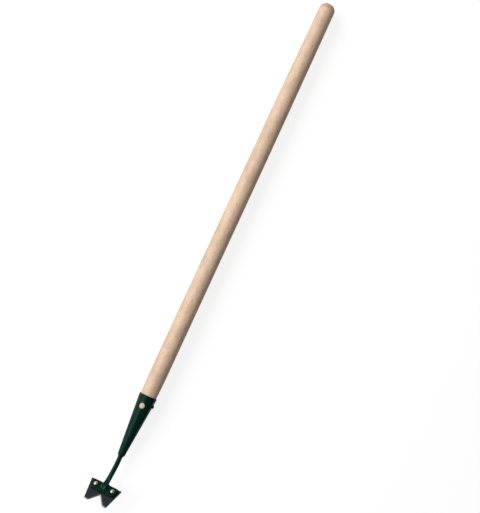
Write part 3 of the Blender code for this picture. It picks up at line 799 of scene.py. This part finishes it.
def add_screw(paint):
    """A pan head, whose slot is half filled with paint, on a tapering shank."""
    profile = [(0.0, SCREW_HEAD_HEIGHT)]
    for angle in quarter(SCREW_HEAD_STEPS)[1:]:
        profile.append((SCREW_HEAD_RADIUS * math.sin(angle) ** SCREW_SQUARENESS,
                        SCREW_HEAD_HEIGHT * math.cos(angle) ** SCREW_SQUARENESS))
    profile += [(SCREW_SHANK_RADIUS, 0.0), (SCREW_SHANK_RADIUS, SCREW_SHANK_RADIUS * 2 - SCREW_LENGTH)]
    profile.append((0.0, -SCREW_LENGTH))
    seat = socket_radius(-SCREW_BELOW_RIM) + SCREW_HEAD_LIFT
    place = Matrix.Translation((seat, -SCREW_BELOW_RIM, 0.0)) @ TO_THE_RIGHT
    mesh = skin("screw_head", turned(profile, SCREW_STEPS))
    piece = add_piece("screw_head", mesh, TOOL @ place, [paint])
    wide = SCREW_SLOT_WIDTH / 2
    long = SCREW_HEAD_RADIUS * 2
    slot_corners = [(wide, long), (-wide, long), (-wide, -long), (wide, -long)]
    slot_heights = (SCREW_HEAD_HEIGHT - SCREW_SLOT_DEPTH, SCREW_HEAD_HEIGHT * 2)
    slot = skin("slot", [[(x, y, height) for x, y in slot_corners] for height in slot_heights])
    slot.transform(Matrix.Rotation(SCREW_SLOT_TURN, 4, "Z"))
    cut(piece, [slot], TOOL @ place)
    finish_piece(piece, "handle_screw")


def add_neck(paint):
    """A round bar, pressed flat in front above its foot and bedded on the plate."""
    foot_top = PLATE_FRONT + GAP + NECK_FOOT_THICKNESS
    bend = NECK_FACET_LENGTH - NECK_FOOT_BELOW_TOP
    press_end = bend + NECK_FACET_LENGTH * 2
    into_head = HEAD_IN_TOOL.inverted()
    path = neck_path()
    foot = path[-1][0]
    rings = []
    for place, angle in path:
        near = smooth(1.0 - (place - foot).length / NECK_SPREAD_LENGTH)
        front = Vector((0.0, math.sin(angle), math.cos(angle)))
        ring = []
        for step in range(ROUND_STEPS):
            turn = math.tau * step / ROUND_STEPS
            outwards = Vector((math.sin(turn), 0.0, 0.0)) + front * math.cos(turn)
            radius = NECK_RADIUS + NECK_FOOT_SPREAD * near
            radius += waver(place + outwards * radius, *NECK_WAVE)
            x, y, z = into_head @ (place + outwards * radius)
            if y < press_end:
                press = foot_top + max(0.0, y - bend) * math.tan(NECK_RUNOUT_SLOPE)
                press += waver((x, y, 0.0), *FACET_WAVE)
                z = smooth_lower(z, press, FACET_EDGE_ROUND)
            if y < -PLATE_BELOW_TOP:
                z = max(z, PLATE_FRONT)
            ring.append(HEAD_IN_TOOL @ Vector((x, y, z)))
        rings.append(ring)
    last = rings.pop()
    onwards = (path[-1][0] - path[-2][0]).normalized()
    for angle in quarter(EDGE_STEPS):
        drawn = FOOT_EDGE_ROUND * (1.0 - math.cos(angle))
        back = FOOT_EDGE_ROUND * (1.0 - math.sin(angle))
        rings.append([point + (foot - point).normalized() * drawn - onwards * back for point in last])
    piece = add_piece("neck_bar", skin("neck_bar", rings), TOOL, [paint], sharp=NECK_SHARP_ANGLE)
    finish_piece(piece, "neck")


def weld_line(left, right, low, top, corner):
    """A U-shaped line round the foot: down its left side, across, and up its right."""
    corners = [Vector((left, top)), Vector((left, low)), Vector((right, low)), Vector((right, top))]
    line = [corners[0]]
    for here in corners[1:3]:
        centre = here + Vector((corner if here.x < 0 else -corner, corner))
        first = 180 if here.x < 0 else 270
        for step in range(ARC_STEPS + 1):
            angle = math.radians(first + 90 * step / ARC_STEPS)
            line.append(centre + Vector((math.cos(angle), math.sin(angle))) * corner)
    line.append(corners[3])
    return line


def through(points):
    """A smooth line through these points."""
    line = []
    reached = [points[0] * 2 - points[1], *points, points[-1] * 2 - points[-2]]
    for before, here, there, after in zip(reached, reached[1:], reached[2:], reached[3:]):
        for step in range(ARC_STEPS):
            part = step / ARC_STEPS
            line.append((here * 2 + (there - before) * part
                         + (before * 2 - here * 5 + there * 4 - after) * part ** 2
                         + (here * 3 - before - there * 3 + after) * part ** 3) / 2)
    line.append(points[-1])
    return line


def spread(line, count):
    """This many points, evenly spaced along a line."""
    lengths = [0.0]
    for here, there in zip(line, line[1:]):
        lengths.append(lengths[-1] + (there - here).length)
    points = []
    segment = 0
    for step in range(count):
        travel = lengths[-1] * step / (count - 1)
        while segment < len(line) - 2 and lengths[segment + 1] < travel:
            segment += 1
        part = (travel - lengths[segment]) / (lengths[segment + 1] - lengths[segment])
        points.append(line[segment].lerp(line[segment + 1], part))
    return points


def bead_relief(point, travel, part, ripple, pearls=0.0):
    """Height of a weld's surface over its plain shape: crescents across it, and lumps of three sizes.
    Travel is the way along the bead, and part the share of the way across it."""
    drift = waver(point, *RIPPLE_DRIFT)
    crescent = (travel + drift) / RIPPLE_LENGTH - RIPPLE_BOW * (part - 0.45) ** 2
    fade = smooth(2.5 * part) * smooth(3 * (1 - part))
    relief = (abs(math.sin(math.pi * crescent)) - 0.6) * ripple * fade
    relief += waver(point, *WELD_LUMPS) + waver(point, *WELD_PEARLS) * pearls
    return relief + waver(point, *WELD_GRAIN)


def weld_rise(part, height, steepness, belly):
    """Height of the foot weld over the plate, at a share of the way from the foot to its toe."""
    fall = max(0.0, (part - BELLY_FALL) / (1.0 - BELLY_FALL)) ** 3
    return height * (1.0 - part) ** steepness + belly * smooth(part / BELLY_FULL) * (1.0 - fall)


def add_foot_weld(paint):
    """A bead round the foot: a chain of pearls at the left, a tongue below and a mound at the right."""
    foot_line = weld_line(-FOOT_WELD_UNDER, FOOT_WELD_UNDER, FOOT_WELD_OVERLAP - NECK_FOOT_BELOW_TOP,
                          -PLATE_BELOW_TOP - FOOT_WELD_INSET, FOOT_WELD_CORNER)
    inner = spread(foot_line, FOOT_WELD_STATIONS)
    outer = spread(through(FOOT_WELD_TOE), FOOT_WELD_STATIONS)
    rings = []
    travel = 0.0
    for index in range(FOOT_WELD_STATIONS):
        share = index / (FOOT_WELD_STATIONS - 1)
        if index:
            travel += (outer[index] - outer[index - 1]).length
        chain = 1.0 - smooth((share - CHAIN_FADE[0]) / (CHAIN_FADE[1] - CHAIN_FADE[0]))
        mound = smooth((share - MOUND_RISE[0]) / (MOUND_RISE[1] - MOUND_RISE[0]))
        weights = (chain, 1.0 - chain - mound, mound)
        height, steepness, belly, ripple = (
            sum(weight * value for weight, value in zip(weights, values))
            for values in zip(*FOOT_WELD_ZONES))
        closing = min(1.0, min(share, 1.0 - share) / FOOT_WELD_CLOSING)
        end = FOOT_WELD_END + (1.0 - FOOT_WELD_END) * math.sqrt(1.0 - (1.0 - closing) ** 2)
        shape = (height * end, steepness, belly * end)
        across = outer[index] - inner[index]
        ring = []
        for step in range(FOOT_WELD_STEPS + 1):
            part = step / FOOT_WELD_STEPS
            spot = inner[index] + across * part
            point = Vector((spot.x, spot.y, PLATE_FRONT - WELD_TOE_SINK + weld_rise(part, *shape)))
            before = weld_rise(max(0.0, part - WELD_FEEL), *shape)
            after = weld_rise(min(1.0, part + WELD_FEEL), *shape)
            slope = (before - after) / (2 * WELD_FEEL * across.length)
            normal = Vector((*(across.normalized() * slope), 1.0)).normalized()
            relief = bead_relief(point, travel, part, RIPPLE_DEPTH * ripple, chain)
            relief *= smooth(4 * (1 - part))
            ring.append(point + normal * relief)
        ring.append((ring[-1].x, ring[-1].y, PLATE_FRONT - WELD_ROOT))
        ring.append((inner[index].x, inner[index].y, PLATE_FRONT - WELD_ROOT))
        rings.append(ring)
    piece = add_piece("foot_bead", skin("foot_bead", rings), HEAD, [paint], sharp=WELD_SHARP_ANGLE)
    finish_piece(piece, "foot_weld")


def add_socket_weld(paint):
    """A lumpy bead that closes the socket's small end on the neck."""
    start = -SOCKET_CONE_LENGTH - SOCKET_SHOULDER_LENGTH + SOCKET_WELD_START
    inside = NECK_RADIUS - WELD_ROOT
    rings = []
    for index in range(SOCKET_WELD_STATIONS):
        angle = math.tau * index / SOCKET_WELD_STATIONS
        around = Vector((math.sin(angle), 0.0, math.cos(angle)))
        lump = waver(around * SOCKET_WELD_RADIUS, *SOCKET_WELD_EDGE)
        ring = []
        for step in range(SOCKET_WELD_STEPS + 1):
            part = step / SOCKET_WELD_STEPS
            height = start - (SOCKET_WELD_LENGTH + lump) * part
            fall = smooth(part) * (SOCKET_WELD_RADIUS - NECK_RADIUS + SOCKET_WELD_OVERLAP)
            body = math.sin(math.pi * part)
            spot = around * (SOCKET_WELD_RADIUS - fall) + Vector((0.0, height, 0.0))
            travel = angle * SOCKET_WELD_RADIUS
            relief = bead_relief(spot, travel, part, RIPPLE_DEPTH * SOCKET_WELD_RIPPLE)
            ring.append(spot + around * (body * (SOCKET_WELD_BELLY + relief)))
        ring.append(around * inside + Vector((0.0, start - SOCKET_WELD_LENGTH - lump, 0.0)))
        ring.append(around * inside + Vector((0.0, start, 0.0)))
        rings.append(ring)
    mesh = skin("socket_bead", rings, looped=True)
    piece = add_piece("socket_bead", mesh, TOOL, [paint], sharp=WELD_SHARP_ANGLE)
    finish_piece(piece, "socket_weld")


def add_plate(paint):
    """A flat plate with rounded corners and edges, which tapers with the blade."""
    bottom = -PLATE_BELOW_TOP - PLATE_HEIGHT
    bottom_half = PLATE_TOP_HALF - BLADE_TAPER * PLATE_HEIGHT

    def outline(inset):
        radius = PLATE_CORNER - inset
        corners = [
            (bottom_half - inset, bottom + inset, radius),
            (PLATE_TOP_HALF - inset, -PLATE_BELOW_TOP - inset, radius),
            (inset - PLATE_TOP_HALF, -PLATE_BELOW_TOP - inset, radius),
            (inset - bottom_half, bottom + inset, radius),
        ]
        return rounded(corners)

    edge = PLATE_EDGE_ROUND
    profile = arc((0.0, GAP + edge), edge, 270, 360, PLATE_EDGE_STEPS)
    profile += arc((0.0, PLATE_FRONT - edge), edge, 0, 90, PLATE_EDGE_STEPS)
    rings = [[(x, y, height) for x, y in outline(edge - across)] for across, height in profile]
    piece = add_piece("plate_body", skin("plate_body", rings), HEAD, [paint])
    cut(piece, [rivet_drill(side, PLATE_DRILL) for side in SIDES], HEAD)
    finish_piece(piece, "mounting_plate")


def rivet_place(side):
    """Where a rivet stands in the head's frame. The side is -1 at the left and 1 at the right."""
    return Matrix.Translation((side * RIVET_OFFSET, -RIVET_BELOW_TOP, 0.0))


def rivet_drill(side, heights):
    """A plain drill for a rivet's shank, between two heights."""
    radius = RIVET_SHANK_RADIUS + GAP
    mesh = skin("drill", turned([(radius, height) for height in heights], DRILL_STEPS))
    mesh.transform(rivet_place(side))
    return mesh


def rivet_sink(side):
    """The countersink round a rivet's tail, at the blade's back."""
    slope = (RIVET_TAIL_RADIUS - RIVET_SHANK_RADIUS) / RIVET_TAIL_DEPTH
    mouth = RIVET_TAIL_RADIUS + GAP * math.hypot(1.0, slope) + RIVET_TAIL_SUNK * slope
    depth = (mouth - RIVET_SHANK_RADIUS - GAP) / slope
    back = -BLADE_THICKNESS
    profile = [(mouth + slope * BLADE_THICKNESS, back * 2), (mouth - slope * depth, back + depth)]
    mesh = skin("countersink", turned(profile, DRILL_STEPS))
    mesh.transform(rivet_place(side))
    return mesh


def add_blade():
    """A notched sheet, hollow ground on its front. Along holds the distance round its outline."""
    back = -BLADE_THICKNESS
    outer = rounded(blade_corners(0.0))
    inner = rounded(blade_corners(GRIND_WIDTH))
    rings = [[(x, y, back) for x, y in outer]]
    for band in range(GRIND_BANDS + 1):
        share = band / GRIND_BANDS
        height = back + EDGE_LAND + (BLADE_THICKNESS - EDGE_LAND) * share
        hollow = GRIND_HOLLOW * math.sin(math.pi * share)
        rings.append([(x0 + (x1 - x0) * share, y0 + (y1 - y0) * share, height - hollow)
                      for (x0, y0), (x1, y1) in zip(outer, inner)])
    mesh = skin("blade_sheet", rings)
    travel = [0.0]
    for here, there in zip(outer, outer[1:]):
        travel.append(travel[-1] + math.dist(here, there))
    along = mesh.attributes.new("along", "FLOAT", "POINT")
    for index in range(len(mesh.vertices)):
        along.data[index].value = travel[index % len(outer)]
    piece = add_piece("blade_sheet", mesh, HEAD, [steel_finish(), ground_finish()])
    drills = [rivet_drill(side, BLADE_DRILL) for side in SIDES]
    cut(piece, drills + [rivet_sink(side) for side in SIDES], HEAD)
    front = HEAD.to_3x3() @ Vector((0.0, 0.0, 1.0))
    for face in piece.data.polygons:
        tilt = face.normal.dot(front)
        if GRIND_TILT[0] < tilt < GRIND_TILT[1] and (HEAD.inverted() @ face.center).z > back:
            face.material_index = 1
    finish_piece(piece, "blade")


def add_rivets():
    """Domed heads in front of the plate, and tails set into the blade's back."""
    seat = PLATE_FRONT + RIVET_HEAD_LIFT
    profile = [(0.0, seat + RIVET_HEAD_HEIGHT)]
    for angle in quarter(DOME_STEPS)[1:]:
        profile.append((RIVET_HEAD_RADIUS * math.sin(angle), seat + RIVET_HEAD_HEIGHT * math.cos(angle)))
    tail = RIVET_TAIL_SUNK - BLADE_THICKNESS
    under = seat - RIVET_RIM_DEPTH
    profile += [(RIVET_HEAD_RADIUS - RIVET_RIM, under), (RIVET_SHANK_RADIUS, under),
                (RIVET_SHANK_RADIUS, tail + RIVET_TAIL_DEPTH), (RIVET_TAIL_RADIUS, tail),
                (RIVET_TAIL_RADIUS / 2, tail - RIVET_TAIL_CROWN * 5 / 8), (0.0, tail - RIVET_TAIL_CROWN)]
    zinc = zinc_finish()
    for side, label in zip(SIDES, ("left", "right")):
        mesh = skin("rivet_" + label + "_dome", turned(profile, RIVET_STEPS))
        mesh.transform(Matrix.Rotation(side * RIVET_TURN, 4, "Z"))
        piece = add_piece(mesh.name, mesh, HEAD @ rivet_place(side), [zinc])
        finish_piece(piece, "rivet_" + label)


def add_frame(name, matrix):
    """An empty that finishes take their coordinates from. It moves with the tool."""
    empty = put(name, None)
    empty.matrix_world = matrix
    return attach(empty, BODY)


def view_axes():
    """Direction from the object to the camera, and the handle's two axes as the camera sees them."""
    towards = Vector((math.sin(VIEW_TO_THE_RIGHT) * math.cos(VIEW_FROM_BELOW), -math.sin(VIEW_FROM_BELOW),
                      math.cos(VIEW_TO_THE_RIGHT) * math.cos(VIEW_FROM_BELOW)))
    across = Vector((0.0, 1.0, 0.0)).cross(towards).normalized()
    return towards, across, towards.cross(across)


def add_camera():
    """The photograph's camera, which keeps its place beside the tool."""
    towards, across, upwards = view_axes()
    right = across * math.cos(VIEW_ROLL) + upwards * math.sin(VIEW_ROLL)
    up = upwards * math.cos(VIEW_ROLL) - across * math.sin(VIEW_ROLL)
    place = Vector(VIEW_POINT) + towards * VIEW_DISTANCE
    aim = (Vector(VIEW_POINT) + right * ((PICTURE_WIDTH / 2 - POINT_ACROSS) / PIXELS_PER_METRE)
           - up * ((PICTURE_HEIGHT / 2 - POINT_DOWN) / PIXELS_PER_METRE))
    look = (place - aim).normalized()
    x_axis = up.cross(look).normalized()
    matrix = Matrix((x_axis, look.cross(x_axis), look)).transposed().to_4x4()
    matrix.translation = place
    data = bpy.data.cameras.new("camera")
    data.sensor_width = SENSOR
    data.lens = PIXELS_PER_METRE * VIEW_DISTANCE * SENSOR / max(PICTURE_WIDTH, PICTURE_HEIGHT)
    data.clip_end = FAR_CLIP
    camera = put("camera", data)
    camera.matrix_world = TOOL @ matrix
    bpy.context.scene.camera = camera


def add_lamp(name, direction, distance, width, height, level):
    """A soft box that lights a surface facing it to this level, where 1 shows colours as written."""
    data = bpy.data.lights.new(name, "AREA")
    data.shape = "RECTANGLE"
    data.size = width
    data.size_y = height
    data.energy = level * math.pi ** 2 * distance ** 2
    lamp = put(name, data)
    middle = TOOL @ Vector(VIEW_POINT)
    lamp.location = middle + direction.normalized() * distance
    lamp.rotation_euler = direction.to_track_quat("Z", "Y").to_euler()


def add_lights():
    """A large soft box low on the picture's left, and a weak even light from all round."""
    towards, across, upwards = (TOOL.to_3x3() @ axis for axis in view_axes())
    level_key = towards * math.cos(KEY_SIDE) - across * math.sin(KEY_SIDE)
    key = level_key * math.cos(KEY_LEAN) + upwards * math.sin(KEY_LEAN)
    add_lamp("key", key, KEY_DISTANCE, KEY_WIDTH, KEY_HEIGHT, KEY_LEVEL)
    world = bpy.data.worlds.new("studio")
    world.use_nodes = True
    sky = world.node_tree.nodes["Background"]
    sky.inputs["Color"].default_value = WHITE
    sky.inputs["Strength"].default_value = SKY_LEVEL
    bpy.context.scene.world = world


def add_floor():
    """A wide pale floor, which shows white and keeps a soft shadow."""
    profile = [(0.0, 0.0)] + [(radius, 0.0) for radius in FLOOR_RADII]
    mesh = skin("floor", turned(profile, FLOOR_STEPS), capped=False)
    mesh.shade_smooth()
    floor = put("floor", mesh)
    material = bpy.data.materials.new("pale floor")
    material.use_nodes = True
    tree = material.node_tree
    shader = tree.nodes["Principled BSDF"]
    shader.inputs["Base Color"].default_value = (FLOOR_COLOUR, FLOOR_COLOUR, FLOOR_COLOUR, 1.0)
    shader.inputs["Roughness"].default_value = 0.9
    shader.inputs["Specular IOR Level"].default_value = 0.0
    shader.inputs["Emission Color"].default_value = WHITE
    path = tree.nodes.new("ShaderNodeLightPath")
    seen = path.outputs["Is Camera Ray"]
    for other in ("Is Glossy Ray", "Is Transmission Ray"):
        either = tree.nodes.new("ShaderNodeMath")
        either.operation = "MAXIMUM"
        tree.links.new(seen, either.inputs[0])
        tree.links.new(path.outputs[other], either.inputs[1])
        seen = either.outputs["Value"]
    lift = tree.nodes.new("ShaderNodeMath")
    lift.operation = "MULTIPLY"
    tree.links.new(seen, lift.inputs[0])
    lift.inputs[1].default_value = FLOOR_LIFT
    tree.links.new(lift.outputs["Value"], shader.inputs["Emission Strength"])
    mesh.materials.append(material)


PITCH = math.atan((SOCKET_MOUTH_RADIUS - HANDLE_RADIUS) / HANDLE_TAPER_START)
TOOL = (Matrix.Translation(MOUTH_PLACE) @ Matrix.Rotation(-PITCH, 4, "X")
        @ Matrix.Rotation(-RESTING_ROLL, 4, "Y"))
HEAD_TURN = Euler((-BLADE_TO_HANDLE, 0.0, 0.0))
FOOT_CENTRE = Vector((0.0, -NECK_FOOT_BELOW_TOP, PLATE_FRONT + GAP + NECK_FOOT_THICKNESS / 2))
HEAD_ORIGIN = neck_path()[-1][0] - HEAD_TURN.to_matrix() @ FOOT_CENTRE
HEAD_IN_TOOL = Matrix.LocRotScale(HEAD_ORIGIN, HEAD_TURN, None)
TO_THE_RIGHT = Matrix.Rotation(math.radians(90), 4, "Y")
HEAD = TOOL @ HEAD_IN_TOOL
TOOL_FRAME = add_frame("tool_frame", TOOL)
HEAD_FRAME = add_frame("head_frame", HEAD)

green = paint_finish("green gloss paint", TOOL_FRAME, *FINE_COAT, 0.37)
green_head = paint_finish("green gloss paint on the plate", HEAD_FRAME, *FINE_COAT, 0.30, 0.18)
green_weld = paint_finish("green paint on the welds", HEAD_FRAME, *THICK_COAT, 0.25, 0.26)
green_screw = paint_finish("green paint on the screw", TOOL_FRAME, *THICK_COAT, 0.36)
add_handle()
add_socket(green)
add_screw(green_screw)
add_neck(green)
add_socket_weld(green_weld)
add_foot_weld(green_weld)
add_plate(green_head)
add_blade()
add_rivets()
add_floor()
add_lights()
add_camera()
bpy.context.scene.view_settings.view_transform = "Standard"

bpy.context.view_layer.update()
